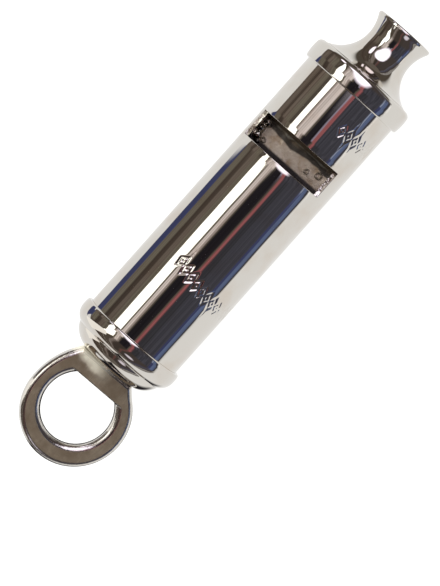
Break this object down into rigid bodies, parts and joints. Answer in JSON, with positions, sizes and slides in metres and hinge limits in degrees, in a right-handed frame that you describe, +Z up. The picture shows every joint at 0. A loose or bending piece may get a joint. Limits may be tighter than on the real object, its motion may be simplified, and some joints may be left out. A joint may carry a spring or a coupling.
{
  "type": "tube whistle",
  "caption": "Nickel-plated two-chamber tube whistle with a turned mouthpiece, two cut windows, capped ends and a swivelling flat lanyard ring.",
  "frame": {"origin": "on the tube's axis, halfway along the whole whistle", "axes": "+X along the tube's axis towards the mouthpiece, the lanyard ring is at -X; the two windows face +Z and -Z; +Z up with the whistle lying on its two end caps"},
  "size_m": [0.082, 0.0176, 0.0176],
  "materials": {
    "polished_nickel": "polished",
    "satin_nickel": "satin",
    "dull_plated_brass": "matte"
  },
  "bodies": {
    "whistle": {"body_tube": "polished_nickel", "head_cap": "polished_nickel", "mouthpiece": "polished_nickel", "windway_block_front": "dull_plated_brass", "windway_block_rear": "dull_plated_brass", "septum_plate": "dull_plated_brass", "short_chamber_stop": "dull_plated_brass", "tube_end_disc": "dull_plated_brass", "base_cap": "polished_nickel"},
    "ring": {"lanyard_ring": "satin_nickel", "retaining_washer": "dull_plated_brass"}
  },
  "joints": [
    {"name": "ring_swivel", "type": "hinge", "parent": "whistle", "child": "ring", "pos_m": [-0.0241, 0, 0], "axis": [1, 0, 0], "continuous": true}
  ]
}
